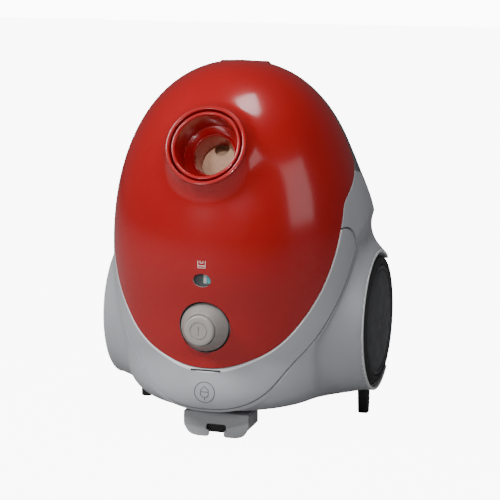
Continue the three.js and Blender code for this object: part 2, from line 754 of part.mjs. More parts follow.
const MOTOR_X = -52;
const MOTOR_Y = 4;
const DECK_Z = 170;
const chamberCore = insideTub(WALL + 2.6);
const underPan = bandPatch(-14, WALL * 2 + PEDAL_TRAVEL_ROOM + 0.6, 0.1, 0.06, 24, 3);
const frontDeck = cut(
  starSolid(pulledIn(eggReach, 9), 24, 12),
  starSolid(pulledIn(eggReach, 11.4), 24, 12),
).intersect(box(0, -110, 129, 88, 76, 62));
const deckStep = join(box(0, -97, 159, 88, 12, 2.4), box(0, -92.2, 165.4, 88, 2.4, 15));
const motorIntake = rod(Z_AXIS, MOTOR_X, MOTOR_Y, DECK_Z - 4, 38, 12, 32);
const deckPlate = cut(
  chamberCore.intersect(box(0, 16.6, DECK_Z + 1.5, 400, 220, 3)),
  ...bothSides(fenderBox(WALL + 0.6)),
  ...bothSides(box(110, -62, DECK_Z, 28, 20, 10)),
);
part(
  "motor_deck",
  cut(join(deckPlate, frontDeck, deckStep), underPan, motorIntake, rod(FRONT_AXIS, 0, -80, KNOB_Z, 12, 40, 24)),
  GREY,
);
part(
  "motor_filter",
  box(MOTOR_X, MOTOR_Y, DECK_Z + 8.6, 84, 84, 8),
  FOAM,
);
part(
  "filter_frame",
  cut(
    box(MOTOR_X, MOTOR_Y, DECK_Z + 10, 94, 94, 13),
    box(MOTOR_X, MOTOR_Y, DECK_Z + 8, 85, 85, 10),
    ...[-27, -9, 9, 27].map((dx) => box(MOTOR_X + dx, MOTOR_Y, DECK_Z + 16, 12, 74, 10)),
  ),
  CHARCOAL,
);

const BAG_Y = 16;
const BAG_Z = 264;
const BAG_MOUTH = 25;
const bagBlob = (rx, ry, rz) =>
  solid(new THREE.SphereGeometry(1, 20, 10).scale(rx, ry, rz).translate(0, BAG_Y, BAG_Z));
part(
  "dust_bag",
  cut(
    join(bagBlob(86, 66, 68), socketRod(-80, 29, 37, 20)),
    bagBlob(84.2, 64.2, 66.2),
    socketRod(-90, BAG_MOUTH, 60, 20),
  ),
  PAPER,
);
const socketPlate = (width, height, from, thick) =>
  solid(
    new THREE.BoxGeometry(width, height, thick)
      .applyMatrix4(new THREE.Matrix4().makeBasis(X_AXIS, SOCKET_UP, SOCKET_AXIS))
      .translate(0, SOCKET_Y + SOCKET_AXIS.y * (from + thick / 2), SOCKET_Z + SOCKET_AXIS.z * (from + thick / 2)),
  );
part("bag_plate", cut(socketPlate(92, 84, -41, 2), socketRod(-60, BAG_MOUTH, 40, 20)), CARD);
const flapNotch = socketRod(-80, 9, 20, 20).translate(SOCKET_UP.clone().multiplyScalar(18).toArray());
part("bag_flap", cut(socketRod(-67, BAG_MOUTH - 0.4, 1, 20), flapNotch), PAPER);
part(
  "bag_holder",
  cut(
    join(
      cut(socketPlate(104, 96, -46, 4.4), socketRod(-60, 34, 40, 20)),
      ...bothSides(box(49.5, -84, 217, 5, 5, 87)),
    ),
  ),
  GREY,
);

// ---------------------------------------------------------------- motor, reel and electrics

part(
  "motor_case",
  turned(Z_AXIS, MOTOR_X, MOTOR_Y, 0, [
    [14, 48],
    [38, 48],
    [40, 60],
    [40, 108],
    [48, 116],
    [48, 158],
    [34, 158],
    [34, 155],
    [45, 155],
    [45, 118],
    [37, 110],
    [37, 51],
    [14, 51],
  ], 20),
  STEEL,
);
part(
  "motor_rotor",
  turned(Z_AXIS, MOTOR_X, MOTOR_Y, 0, [
    [0, 54],
    [4, 54],
    [4, 62],
    [25, 62],
    [25, 100],
    [6, 104],
    [6, 124],
    [42, 124],
    [42, 127],
    [24, 138],
    [24, 150],
    [0, 150],
  ], 20),
  COPPER,
);
part("motor_seal", ring(Z_AXIS, MOTOR_X, MOTOR_Y, 158.4, 39, 46, 11, 20), RUBBER);
part("motor_mount", ring(Z_AXIS, MOTOR_X, MOTOR_Y, 36, 18, 28, 11.6, 20), RUBBER);

const REEL_X = 22;
const REEL_Y = 12;
const REEL_Z = 98;
const REEL_WIDTH = 58;
part(
  "cord_reel",
  turned(X_AXIS, REEL_X, REEL_Y, REEL_Z, [
    [6, 0],
    [60, 0],
    [60, 3],
    [24, 3],
    [24, REEL_WIDTH - 3],
    [60, REEL_WIDTH - 3],
    [60, REEL_WIDTH],
    [6, REEL_WIDTH],
  ], 24),
  BLACK_PLASTIC,
);
part("reel_axle", rod(X_AXIS, REEL_X - 8, REEL_Y, REEL_Z, 5.6, REEL_WIDTH + 16, 18), STEEL);
part(
  "brake_lever",
  sideSlab(
    [[-64, 64], [-58, 62], [-54, 100], [-57, 118], [-62, 118], [-61, 96]],
    REEL_X + REEL_WIDTH - 6,
    REEL_X + REEL_WIDTH + 2,
  ),
  CHARCOAL,
);
part("control_board", box(0, -91, KNOB_Z, 60, 1.6, 52), BOARD_GREEN);
part("power_switch", box(0, -95, KNOB_Z, 15, 5.4, 15), BLACK_PLASTIC);
part("knob_shaft", rod(FRONT_AXIS, 0, -98.2, KNOB_Z, 4, 14.2, 18), BLACK_PLASTIC);
part("cord_bush", ring(Y_AXIS, BUSH_X, 92, BUSH_Z, 5, 8.9, 14, 24), RUBBER);

// ---------------------------------------------------------------- exhaust

const doorSlots = [-30, -18, -6, 6, 18, 30].map((dz) => box(0, 110, DOOR_Z + dz, 96, 20, 5));
part("exhaust_door", cut(box(0, 109.4, DOOR_Z, DOOR_WIDTH - 1, 3, DOOR_HEIGHT - 1), ...doorSlots), GREY);
part("exhaust_filter", box(0, 101, DOOR_Z, 112, 11, 70), FILTER_WHITE);

export default group;
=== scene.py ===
"""Looks of a compact canister vacuum cleaner parked on its tail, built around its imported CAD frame.

Blender works in metres. The shape functions work in millimetres, in the frame of the CAD, and each mesh is
scaled once, when it is made.
"""

import math

import bmesh
import bpy
import numpy as np
from mathutils import Matrix, Vector


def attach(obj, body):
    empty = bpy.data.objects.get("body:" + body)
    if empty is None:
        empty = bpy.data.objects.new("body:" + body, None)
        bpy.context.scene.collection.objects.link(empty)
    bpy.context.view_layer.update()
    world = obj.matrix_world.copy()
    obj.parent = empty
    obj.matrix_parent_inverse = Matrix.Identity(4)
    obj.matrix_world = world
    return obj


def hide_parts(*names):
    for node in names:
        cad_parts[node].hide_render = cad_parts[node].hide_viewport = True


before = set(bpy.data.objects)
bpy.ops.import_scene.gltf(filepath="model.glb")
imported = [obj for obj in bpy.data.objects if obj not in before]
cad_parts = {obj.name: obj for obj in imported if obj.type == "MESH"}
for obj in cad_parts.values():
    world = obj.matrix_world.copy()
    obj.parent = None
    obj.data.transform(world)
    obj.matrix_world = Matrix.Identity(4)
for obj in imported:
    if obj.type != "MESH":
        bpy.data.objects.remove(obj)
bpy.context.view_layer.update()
MM = 0.001

# ------------------------------------------------------------------ sizes shared with the CAD, mm

CENTRE_Y, CENTRE_Z = 20, 190
HALF_WIDTH, FRONT_DEPTH, BACK_DEPTH = 136, 138, 92
# The CAD's nose is 202 high, but its facets stay lower than that, and this surface has to stay inside them.
NOSE_HEIGHT, TAIL_HEIGHT, TAIL_FLOOR_Z = 201.3, 194, 27
SECTION_POWER, BACK_POWER, UPPER_BACK_POWER, NOSE_POWER, TAIL_POWER = 2.1, 4, 2.5, 2.2, 3
FLOOR_BLEND_POWER = 14
LID_EDGE_Z, PEDAL_EDGE_Z = 80.8, 77
EDGE_Y, EDGE_RISE, EDGE_POWER = -109, 1.36, 0.807
EDGE_KNEE_Z, EDGE_TOP_Y, EDGE_TOP_Z = 258, 30, 290
LID_WALL, WALL, PEDAL_ROOM = 2.6, 3, 7.6
SOCKET_Y, SOCKET_Z, SOCKET_TILT = -104.5, 316, math.radians(26.5)
COLLAR_RADIUS, COLLAR_BORE = 42.4, 38.6
KNOB_Y, KNOB_Z, KNOB_RADIUS = -107, 128, 25.6
WINDOW_Z, WINDOW_HALF_WIDTH, WINDOW_HALF_HEIGHT = 178.5, 9.6, 7
WHEEL_Y, WHEEL_Z, WHEEL_RADIUS, WHEEL_BACK_X = 58, 109, 71, 124
ARCH_RADIUS, ARCH_BORE, ARCH_CUT_Y = 77, 73.5, 100
ARCH_LIP_X, FLARE_REACH, FLARE_HOLLOW = 145.4, 42, 6.5
WELL_BACK_X = 117
PEDAL_LOW_Y, PEDAL_LOW_Z, PEDAL_RISE, PEDAL_POWER = -104, 40, 0.424, 1.0775
DOOR_Z = 218
BAG_Y, BAG_Z, BAG_MOUTH = 16, 264, 25
FOOT_X, FOOT_Y = 127, 71
# Where the painted shade on the body's top starts: a sloping plane.
SHADED_TOP_Z, SHADED_TOP_SLOPE = 283, 0.25

X, Y = Vector((1, 0, 0)), Vector((0, 1, 0))
FRONT = -Y
SOCKET_AXIS = Vector((0, -math.cos(SOCKET_TILT), math.sin(SOCKET_TILT)))
SOCKET_AT = Vector((0, SOCKET_Y, SOCKET_Z))
SOCKET_UP = Vector((0, math.sin(SOCKET_TILT), math.cos(SOCKET_TILT)))
KNOB_AT = Vector((0, KNOB_Y, KNOB_Z))


# ------------------------------------------------------------------ materials


class Graph:
    """Short calls for building one node material."""

    def __init__(self, name):
        self.material = bpy.data.materials.new(name)
        self.material.use_nodes = True
        self.tree = self.material.node_tree
        self.shader = self.tree.nodes["Principled BSDF"]
        self.coords = self.add("ShaderNodeTexCoord").outputs["Object"]

    def add(self, kind, **values):
        node = self.tree.nodes.new(kind)
        for key, value in values.items():
            setattr(node, key, value)
        return node

    def link(self, source, target):
        self.tree.links.new(source, target)

    def noise(self, scale, detail=3.0, roughness=0.5, vector=None):
        node = self.add("ShaderNodeTexNoise")
        node.inputs["Scale"].default_value = scale
        node.inputs["Detail"].default_value = detail
        node.inputs["Roughness"].default_value = roughness
        self.link(vector or self.coords, node.inputs["Vector"])
        return node.outputs["Fac"]

    def ramp(self, value, stops):
        node = self.add("ShaderNodeValToRGB")
        elements = node.color_ramp.elements
        while len(elements) < len(stops):
            elements.new(0.5)
        for element, (position, colour) in zip(elements, stops):
            element.position = position
            element.color = (*colour, 1)
        self.link(value, node.inputs["Fac"])
        return node.outputs["Color"]

    def spread(self, value, low, high):
        """Maps a noise, which stays mostly between 0.3 and 0.7, to the range from low to high."""
        node = self.add("ShaderNodeMapRange")
        node.inputs["From Min"].default_value = 0.3
        node.inputs["From Max"].default_value = 0.7
        node.inputs["To Min"].default_value = low
        node.inputs["To Max"].default_value = high
        self.link(value, node.inputs["Value"])
        return node.outputs["Result"]

    def bump(self, height, strength, distance):
        node = self.add("ShaderNodeBump")
        node.inputs["Strength"].default_value = strength
        node.inputs["Distance"].default_value = distance
        self.link(height, node.inputs["Height"])
        self.link(node.outputs["Normal"], self.shader.inputs["Normal"])


def tinted(colour, factor):
    """A lighter or darker shade of a colour."""
    return tuple(min(1.0, c * factor) for c in colour)


def moulded(
    name, colour, roughness, variation=0.05, grain=900.0, depth=0.00004,
    metallic=0.0, coat=0.0, coat_rough=0.05, specular=0.4,
):
    """Moulded plastic: a faint colour drift, uneven gloss and a fine grain."""
    g = Graph(name)
    drift = g.noise(14.0, 4.0)
    g.link(
        g.ramp(drift, [(0.3, tinted(colour, 1 - variation)), (0.7, tinted(colour, 1 + variation))]),
        g.shader.inputs["Base Color"],
    )
    g.link(g.spread(g.noise(60.0, 3.0), roughness * 0.88, roughness * 1.12), g.shader.inputs["Roughness"])
    g.bump(g.noise(grain, 2.0), 0.35, depth)
    g.shader.inputs["Metallic"].default_value = metallic
    g.shader.inputs["Specular IOR Level"].default_value = specular
    g.shader.inputs["Coat Weight"].default_value = coat
    g.shader.inputs["Coat Roughness"].default_value = coat_rough
    return g.material


RED = moulded(
    "lid_red_lacquer", (0.30, 0.006, 0.007), 0.34, 0.04, 1800.0, 0.000006,
    coat=0.8, coat_rough=0.15, specular=0.12,
)
GREY = moulded("silver_grey_plastic", (0.37, 0.376, 0.40), 0.4, 0.03, 1400.0, metallic=0.1)
PEDAL = moulded("pedal_silver_plastic", (0.38, 0.386, 0.41), 0.38, 0.03, 1400.0, metallic=0.1)
# A lighter copy of the silver grey: a painted highlight for the arch rims and the pedal's shoulder.
PAINTED_HIGHLIGHT_GREY = moulded("silver_plastic_painted_highlight", (0.62, 0.625, 0.64), 0.34, 0.03, 1400.0, metallic=0.1)
KNOB = moulded("knob_warm_grey", (0.25, 0.235, 0.222), 0.38, 0.03, 1300.0, 0.00005)
BUTTON = moulded("button_warm_grey", (0.30, 0.28, 0.265), 0.36, 0.03, 1300.0, 0.00005)
TAB = moulded("tab_grey_plastic", (0.36, 0.363, 0.38), 0.42, 0.05, 1200.0)
# A darker copy of the silver grey: painted shade for the top of the body behind the lid's edge.
PAINTED_SHADE_GREY = moulded("upper_shell_painted_shade_grey", (0.1, 0.102, 0.11), 0.42, 0.04, 1200.0)
DARK = moulded("dark_plastic", (0.05, 0.052, 0.058), 0.45, 0.06, 1100.0)
BLACK = moulded("black_plastic", (0.014, 0.014, 0.016), 0.42, 0.08, 1000.0)
HUB = moulded("hub_charcoal", (0.055, 0.056, 0.062), 0.5, 0.06, 700.0, 0.00008, specular=0.25)
DECK = moulded("deck_grey", (0.2, 0.2, 0.21), 0.5, 0.04, 900.0)
TEAL = moulded("indicator_teal", (0.015, 0.5, 0.56), 0.3, 0.04, 900.0)
WHITE_INK = moulded("print_pale_grey", (0.78, 0.74, 0.72), 0.4, 0.03, 1400.0)
MARK = moulded("mark_dark_grey", (0.12, 0.12, 0.128), 0.45, 0.04, 1400.0)
BOARD = moulded("circuit_board", (0.015, 0.13, 0.055), 0.4, 0.12, 300.0)


def rubber(name, colour, roughness):
    """Dull rubber: a blotchy shade and a fine tooth."""
    g = Graph(name)
    g.link(
        g.ramp(g.noise(40.0, 6.0, 0.65), [(0.35, tinted(colour, 0.8)), (0.65, tinted(colour, 1.35))]),
        g.shader.inputs["Base Color"],
    )
    g.link(g.spread(g.noise(120.0), roughness * 0.9, min(1.0, roughness * 1.1)), g.shader.inputs["Roughness"])
    g.bump(g.noise(2200.0, 3.0), 0.5, 0.00006)
    return g.material


RUBBER = rubber("seal_rubber", (0.018, 0.018, 0.02), 0.7)
TYRE = rubber("tyre_rubber", (0.01, 0.01, 0.011), 0.7)


def paper(name, colour):
    """Kraft paper: long soft fibres, blotches and a rough tooth."""
    g = Graph(name)
    stretch = g.add("ShaderNodeMapping")
    stretch.inputs["Scale"].default_value = (1.0, 1.0, 0.25)
    g.link(g.coords, stretch.inputs["Vector"])
    fibres = g.noise(900.0, 5.0, 0.7, stretch.outputs["Vector"])
    blotch = g.noise(45.0, 4.0)
    mixed = g.add("ShaderNodeMath", operation="ADD")
    g.link(fibres, mixed.inputs[0])
    g.link(blotch, mixed.inputs[1])
    halved = g.add("ShaderNodeMath", operation="MULTIPLY")
    halved.inputs[1].default_value = 0.5
    g.link(mixed.outputs["Value"], halved.inputs[0])
    g.link(
        g.ramp(halved.outputs["Value"], [(0.38, tinted(colour, 0.82)), (0.62, tinted(colour, 1.14))]),
        g.shader.inputs["Base Color"],
    )
    g.link(g.spread(blotch, 0.78, 0.95), g.shader.inputs["Roughness"])
    g.bump(fibres, 0.5, 0.0002)
    return g.material


PAPER = paper("bag_paper", (0.80, 0.53, 0.36))
CARD = paper("bag_card", (0.62, 0.40, 0.25))
FILTER = paper("filter_fleece", (0.72, 0.72, 0.69))
FOAM = rubber("filter_foam", (0.05, 0.075, 0.1), 0.95)


def metal(name, colour, roughness):
    """Brushed metal: a stretched scratch pattern in gloss and height."""
    g = Graph(name)
    stretch = g.add("ShaderNodeMapping")
    stretch.inputs["Scale"].default_value = (1.0, 40.0, 40.0)
    g.link(g.coords, stretch.inputs["Vector"])
    scratches = g.noise(30.0, 4.0, 0.6, stretch.outputs["Vector"])
    g.link(
        g.ramp(g.noise(25.0, 4.0), [(0.3, tinted(colour, 0.92)), (0.7, tinted(colour, 1.06))]),
        g.shader.inputs["Base Color"],
    )
    g.link(g.spread(scratches, roughness * 0.8, roughness * 1.3), g.shader.inputs["Roughness"])
    g.bump(scratches, 0.25, 0.00004)
    g.shader.inputs["Metallic"].default_value = 1.0
    return g.material


STEEL = metal("brushed_steel", (0.56, 0.57, 0.59), 0.3)
COPPER = metal("winding_copper", (0.6, 0.32, 0.17), 0.38)


def clear(name):
    """Clear plastic, thin enough to see straight through."""
    g = Graph(name)
    g.link(
        g.ramp(g.noise(30.0), [(0.3, (0.80, 0.88, 0.9)), (0.7, (0.86, 0.93, 0.95))]),
        g.shader.inputs["Base Color"],
    )
    g.link(g.spread(g.noise(80.0), 0.04, 0.08), g.shader.inputs["Roughness"])
    g.shader.inputs["Alpha"].default_value = 0.05
    g.shader.inputs["Specular IOR Level"].default_value = 0.2
    g.shader.inputs["IOR"].default_value = 1.49
    return g.material


CLEAR = clear("window_clear")

CAD_MATERIALS = {
    "socket_seal": RUBBER, "lid_seal": RUBBER, "motor_seal": RUBBER, "motor_mount": RUBBER,
    "cord_bush": RUBBER, "window_lens": CLEAR, "indicator_housing": BLACK, "indicator_flag": TEAL,
    "power_switch": BLACK, "cord_reel": BLACK, "knob_shaft": BLACK, "hinge_pin": BLACK,
    "latch_lever": RED, "bag_flap": PAPER, "filter_frame": DARK, "brake_lever": DARK,
    "castor_wheel": TYRE, "castor_plate": GREY, "castor_fork": GREY, "exhaust_door": GREY,
    "motor_deck": DECK, "bag_holder": DECK, "motor_filter": FOAM, "exhaust_filter": FILTER,
    "motor_rotor": COPPER, "control_board": BOARD, "bag_plate": CARD,
}
for node_name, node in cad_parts.items():
    node.data.materials.clear()
    node.data.materials.append(CAD_MATERIALS.get(node_name, STEEL))


# ------------------------------------------------------------------ the egg, in millimetres


def smooth(low, high, value):
    """Rises from 0 at low to 1 at high, with no kink."""
    t = np.clip((value - low) / (high - low), 0, 1)
    return t * t * (3 - 2 * t)


def front_depth(drop):
    """The egg's depth in front, at a distance under its centre: it draws in, then fills out at the tail."""
    return FRONT_DEPTH - 6.5 * smooth(0, 62, drop) + 22 * smooth(95, 150, drop)


def egg_reach(d):
    """How far each direction from the centre runs before it leaves the egg."""
    back = d[..., 1] > 0
    up = d[..., 2] > 0
    end_power = np.where(up, NOSE_POWER, TAIL_POWER)
    end_term = (np.abs(d[..., 2]) / np.where(up, NOSE_HEIGHT, TAIL_HEIGHT)) ** end_power
    reach = np.full(d.shape[:-1], float(HALF_WIDTH))
    for _ in range(12):
        back_power = BACK_POWER + (UPPER_BACK_POWER - BACK_POWER) * smooth(30, 120, d[..., 2] * reach)
        power = np.where(back, back_power, SECTION_POWER)
        depth = np.where(back, BACK_DEPTH, front_depth(-d[..., 2] * reach))
        section = (np.abs(d[..., 0]) / HALF_WIDTH) ** power + (np.abs(d[..., 1]) / depth) ** power
        reach = (section ** (end_power / power) + end_term) ** (-1 / end_power)
    return reach


def tub_reach(d):
    """The lower body: the egg with a flat tail, swollen round the wheels."""
    egg = egg_reach(d)
    floor = np.where(d[..., 2] < 0, -d[..., 2] / (CENTRE_Z - TAIL_FLOOR_Z), 1e-9)
    reach = (egg**-FLOOR_BLEND_POWER + floor**FLOOR_BLEND_POWER) ** (-1 / FLOOR_BLEND_POWER)
    y = CENTRE_Y + d[..., 1] * egg
    z = CENTRE_Z + d[..., 2] * egg
    swell = 0.045 * (1 - smooth(205, 285, z)) * smooth(-25, 35, y) * smooth(0.35, 0.9, np.abs(d[..., 0]))
    return reach * (1 + swell)


def flared(points, inset):
    """Flares the lower body's sides out to the arch round each wheel."""
    x, y, z = points[..., 0], points[..., 1], points[..., 2]
    t = np.clip((np.hypot(y - WHEEL_Y, z - WHEEL_Z) - ARCH_RADIUS) / FLARE_REACH, 0, 1)
    on_side = smooth(80, 116, np.abs(x))
    wide = np.abs(x) + (ARCH_LIP_X - inset - np.abs(x)) * (1 - t) ** 2 * on_side
    made = points.copy()
    made[..., 0] = np.sign(x) * (wide - FLARE_HOLLOW * 4 * t * (1 - t) * on_side)
    return made


def direction(around, forward):
    """A unit direction from an angle round the front-to-back axis and an angle towards the front."""
    around, forward = np.broadcast_arrays(around, forward)
    return np.stack(
        [np.cos(forward) * np.cos(around), -np.sin(forward), np.cos(forward) * np.sin(around)], axis=-1
    )


CENTRE = np.array([0.0, CENTRE_Y, CENTRE_Z])


def at_reach(d, reach):
    """The points that far from the egg's centre."""
    return CENTRE + d * reach[..., None]


def edge_y(z, lowest):
    """How far back the lid's edge line runs at each height. Under the lowest point it runs out forwards."""
    rise = EDGE_Y + EDGE_RISE * np.maximum(z - lowest, 0) ** EDGE_POWER
    knee = smooth(EDGE_KNEE_Z - 12, EDGE_TOP_Z, z)
    side = rise * (1 - knee) + EDGE_TOP_Y * knee
    return np.where(z <= lowest, EDGE_Y - (lowest - z) * 4, side)


def pedal_outer_y(z):
    """The same for the pedal's edge on the body's side."""
    rise = PEDAL_RISE * np.maximum(z - PEDAL_LOW_Z, 0) ** PEDAL_POWER
    return np.where(z <= PEDAL_LOW_Z, PEDAL_LOW_Y - (PEDAL_LOW_Z - z) * 4, PEDAL_LOW_Y + rise)


def edge_angle(around, line):
    """The forward angle at which the egg meets a line given as depth at height."""
    below = np.full(np.shape(around), math.radians(-70))
    above = np.full(np.shape(around), math.pi / 2)
    for _ in range(36):
        middle = (below + above) / 2
        d = direction(around, middle)
        p = at_reach(d, egg_reach(d))
        behind = p[..., 1] > line(p[..., 2])
        below = np.where(behind, middle, below)
        above = np.where(behind, above, middle)
    return (below + above) / 2


# ------------------------------------------------------------------ mesh helpers


SMOOTH_ANGLE = 32  # edges that turn more than this stay sharp, in degrees


def obj_from(name, verts, faces, material, body, smooth_angle=SMOOTH_ANGLE):
    """A piece from points in millimetres, on the body it rides with, if it is finished."""
    mesh = bpy.data.meshes.new(name)
    mesh.from_pydata([tuple(v) for v in np.asarray(verts, float) * MM], [], faces)
    mesh.validate()
    obj = bpy.data.objects.new(name, mesh)
    bpy.context.scene.collection.objects.link(obj)
    mesh.materials.append(material)
    tidy_normals(obj, smooth_angle)
    if body:
        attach(obj, body)
    return obj


def tidy_normals(obj, smooth_angle=SMOOTH_ANGLE):
    bm = bmesh.new()
    bm.from_mesh(obj.data)
    bmesh.ops.recalc_face_normals(bm, faces=bm.faces)
    bm.to_mesh(obj.data)
    bm.free()
    obj.data.polygons.foreach_set("use_smooth", [True] * len(obj.data.polygons))
    obj.data.set_sharp_from_angle(angle=math.radians(smooth_angle))


def weld(obj, reach=1e-6):
    """Joins points closer than reach, in metres, such as those of a pole."""
    bm = bmesh.new()
    bm.from_mesh(obj.data)
    bmesh.ops.remove_doubles(bm, verts=bm.verts, dist=reach)
    bm.to_mesh(obj.data)
    bm.free()


def grid_faces(rows, columns, wrap, first=0):
    """Quads of a grid of rows x columns points; wrap joins the last column to the first."""
    faces = []
    across = columns if wrap else columns - 1
    for i in range(rows - 1):
        for j in range(across):
            k = (j + 1) % columns
            a, b = first + i * columns + j, first + i * columns + k
            faces.append((a, b, b + columns, a + columns))
    return faces


def lathe(name, outline, axis, at, material, body, sides=96):
    """Turns [radius, height] pairs round an axis. An outline clear of the axis is closed on itself."""
    side = axis.cross(X if abs(axis.x) < 0.9 else Y).normalized()
    other = axis.cross(side)
    closed = all(r > 1e-6 for r, _ in outline)
    loop = outline + outline[:1] if closed else outline
    verts = []
    for r, h in loop:
        for j in range(sides):
            turn = 2 * math.pi * j / sides
            verts.append(at + axis * h + side * (r * math.cos(turn)) + other * (r * math.sin(turn)))
    obj = obj_from(name, [tuple(v) for v in verts], grid_faces(len(loop), sides, True), material, None)
    weld(obj)
    tidy_normals(obj)
    if body:
        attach(obj, body)
    return obj


def rounded(outline, radius=0.6, steps=3):
    """Rounds the corners of a closed [r, h] outline."""
    made = []
    count = len(outline)
    for i in range(count):
        p = Vector(outline[i])
        before = Vector(outline[i - 1]) - p
        after = Vector(outline[(i + 1) % count]) - p
        reach = min(radius, before.length * 0.45, after.length * 0.45)
        a, b = p + before.normalized() * reach, p + after.normalized() * reach
        for k in range(steps + 1):
            t = k / steps
            made.append(tuple(a * (1 - t) ** 2 + p * (2 * t * (1 - t)) + b * t**2))
    return made


def boolean(obj, cutter, operation="DIFFERENCE"):
    """Cuts or joins a closed piece and removes the cutter."""
    modifier = obj.modifiers.new("cut", "BOOLEAN")
    modifier.operation = operation
    modifier.solver = "MANIFOLD"
    modifier.object = cutter
    bpy.context.view_layer.objects.active = obj
    bpy.ops.object.modifier_apply(modifier=modifier.name)
    bpy.data.objects.remove(cutter, do_unlink=True)


def cut_all(obj, cutters, smooth_angle=SMOOTH_ANGLE):
    for cutter in cutters:
        boolean(obj, cutter)
    tidy_normals(obj, smooth_angle)


def box_mesh(name, low, high, material=GREY, body=None, bevel=0.0):
    """A box between two corners, with rounded edges where it has a bevel."""
    verts = [(x, y, z) for x in (low[0], high[0]) for y in (low[1], high[1]) for z in (low[2], high[2])]
    faces = [(0, 1, 3, 2), (4, 6, 7, 5), (0, 4, 5, 1), (2, 3, 7, 6), (0, 2, 6, 4), (1, 5, 7, 3)]
    obj = obj_from(name, verts, faces, material, None)
    if bevel:
        bm = bmesh.new()
        bm.from_mesh(obj.data)
        bmesh.ops.bevel(bm, geom=bm.edges[:], offset=bevel * MM, segments=3, profile=0.5, affect="EDGES")
        bm.to_mesh(obj.data)
        bm.free()
        tidy_normals(obj, 40)
    if body:
        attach(obj, body)
    return obj


def tube_cutter(axis, at, radius, length, sides=128):
    """A solid rod that starts at a point and runs along an axis."""
    return lathe("cutter", [(0, 0), (radius, 0), (radius, length), (0, length)], axis, at, GREY, None, sides)


# ------------------------------------------------------------------ lid


def collar_swell(points):
    """Draws the surface round the hose inlet up along its axis, in a hollow curve."""
    axis = np.array(SOCKET_AXIS)
    offset = points - np.array(SOCKET_AT)
    height = offset @ axis
    radius = np.linalg.norm(offset - height[..., None] * axis, axis=-1)
    u = np.maximum(radius - COLLAR_RADIUS, -3)
    # The neck's section: steep at the collar, then a long slope that meets the egg.
    target = -4 - 0.5 * u - 9 * (1 - np.exp(-u / 5)) - 0.006 * u * u
    raised = (height + target + np.sqrt((height - target) ** 2 + 9)) / 2
    fade = 1 - smooth(86, 118, radius)
    in_front = smooth(-60, -40, height)
    return points + (np.maximum(raised - height, 0) * fade * in_front)[..., None] * axis


LID_COLUMNS = 256


def shell_rows(edge, span, wall, edge_radius, steps):
    """Forward angles and depths along a shell's section, from outer pole round the edge to inner pole."""
    closeness = (1 - np.linspace(0, 1, steps)[:, None]) ** 1.25
    rounding = edge_radius / span
    outer = edge + rounding + (math.pi / 2 - edge - rounding) * closeness
    rows = [(forward, 0.0) for forward in outer]
    for k in range(1, 5):
        turn = k / 4 * math.pi / 2
        rows.append((edge + rounding * (1 - math.sin(turn)), edge_radius * (1 - math.cos(turn))))
    rows.append((edge, wall))
    for forward in outer[::-1][::3]:
        rows.append((forward, wall))
    return rows


lid_around = np.linspace(0, 2 * math.pi, LID_COLUMNS, endpoint=False)
lid_edge = edge_angle(lid_around, lambda z: edge_y(z, LID_EDGE_Z))
lid_verts = []
lid_rows = shell_rows(lid_edge, 130, LID_WALL, 1.1, 100)
for forward, depth in lid_rows:
    d = direction(lid_around, forward)
    lid_verts.append(collar_swell(at_reach(d, egg_reach(d) - depth)))
lid_faces = grid_faces(len(lid_rows), LID_COLUMNS, True)
lid_shell = obj_from("lid_shell", np.concatenate(lid_verts), lid_faces, RED, None)
bm = bmesh.new()
bm.from_mesh(lid_shell.data)
bmesh.ops.remove_doubles(bm, verts=bm.verts, dist=1e-6)
bmesh.ops.holes_fill(bm, edges=[e for e in bm.edges if e.is_boundary], sides=LID_COLUMNS + 4)
bm.to_mesh(lid_shell.data)
bm.free()
tidy_normals(lid_shell)
cut_all(
    lid_shell,
    [
        tube_cutter(SOCKET_AXIS, SOCKET_AT - SOCKET_AXIS * 70, COLLAR_RADIUS - 0.4, 90),
        tube_cutter(FRONT, Vector((0, -80, KNOB_Z)), 27.4, 60),
    ],
)
window_cutter = tube_cutter(FRONT, Vector((0, 0, 0)), 1, 60, 64)
window_place = Matrix.Translation(Vector((0, -80 * MM, WINDOW_Z * MM)))
window_cutter.data.transform(window_place @ Matrix.Diagonal((WINDOW_HALF_WIDTH, 1, WINDOW_HALF_HEIGHT, 1)))
cut_all(lid_shell, [window_cutter])
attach(lid_shell, "lid")
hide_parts("lid")

collar = lathe(
    "lid_collar",
    rounded(
        [
            (COLLAR_BORE, -24), (COLLAR_RADIUS, -24), (COLLAR_RADIUS + 1.4, -7.5),
            (COLLAR_RADIUS, -4), (COLLAR_RADIUS, 0), (COLLAR_BORE, 0),
        ],
        1.2,
        4,
    ),
    SOCKET_AXIS, SOCKET_AT, RED, "lid", 160,
)
socket = lathe(
    "socket_tube",
    rounded(
        [
            (18.6, -54), (20.2, -54), (23.4, -36), (38.2, -36), (38.2, -9), (36.2, -9), (36.2, -0.8),
            (33.6, -0.8), (32.5, -2.5), (32.5, -33.6), (23.8, -33), (22.6, -31.6), (21.4, -32.6),
        ],
        0.8,
        4,
    ),
    SOCKET_AXIS, SOCKET_AT, RED, "lid", 160,
)
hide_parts("hose_socket")

# ------------------------------------------------------------------ pedal and lower body


